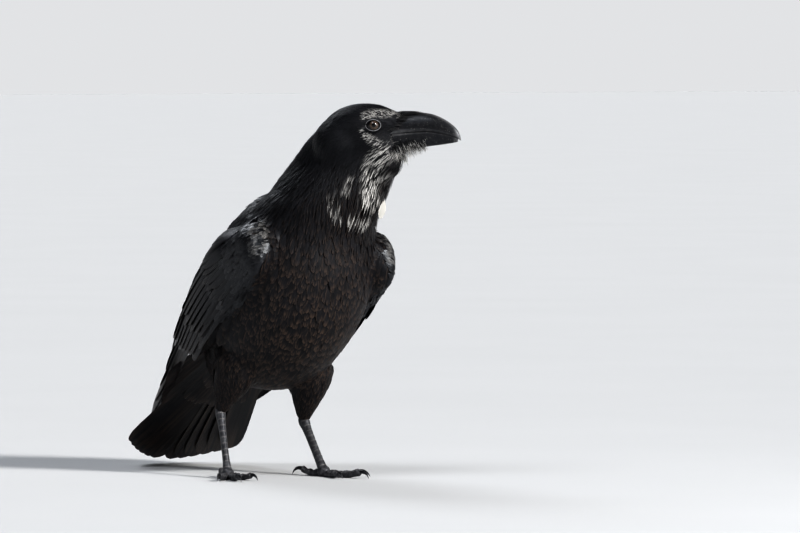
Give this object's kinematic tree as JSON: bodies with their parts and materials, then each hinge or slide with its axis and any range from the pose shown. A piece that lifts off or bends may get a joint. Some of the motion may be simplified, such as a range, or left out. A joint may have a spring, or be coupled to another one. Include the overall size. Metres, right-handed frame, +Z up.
{
  "type": "common raven",
  "caption": "Life-size common raven that stands on both feet, wings folded, tail slightly spread, body leaning a little to its left and head turned to its left.",
  "frame": {"origin": "bottom centre of the bounding box, on the floor that the feet stand on", "axes": "+Z up; the body faces -Y, so the bird's left is +X; the tail points towards +Y"},
  "size_m": [0.2136, 0.4486, 0.394],
  "materials": {
    "plumage": "black feathers with a blue-violet gloss, brownish edges on the breast",
    "scaled_skin": "black scaled skin, satin",
    "horn": "black horn, satin",
    "eye": "wet dark brown"
  },
  "bodies": {
    "root": {"head": "plumage", "neck": "plumage", "trunk": "plumage", "wing_right": "plumage", "wing_left": "plumage", "tail": "plumage", "thigh_right": "plumage", "thigh_left": "plumage", "tarsus_right": "scaled_skin", "tarsus_left": "scaled_skin", "foot_right": "scaled_skin", "foot_left": "scaled_skin", "claw_inner_right": "horn", "claw_middle_right": "horn", "claw_outer_right": "horn", "claw_hind_right": "horn", "claw_inner_left": "horn", "claw_middle_left": "horn", "claw_outer_left": "horn", "claw_hind_left": "horn", "bill_upper": "horn", "bill_lower": "horn", "eye_right": "eye", "eye_left": "eye"}
  },
  "joints": []
}
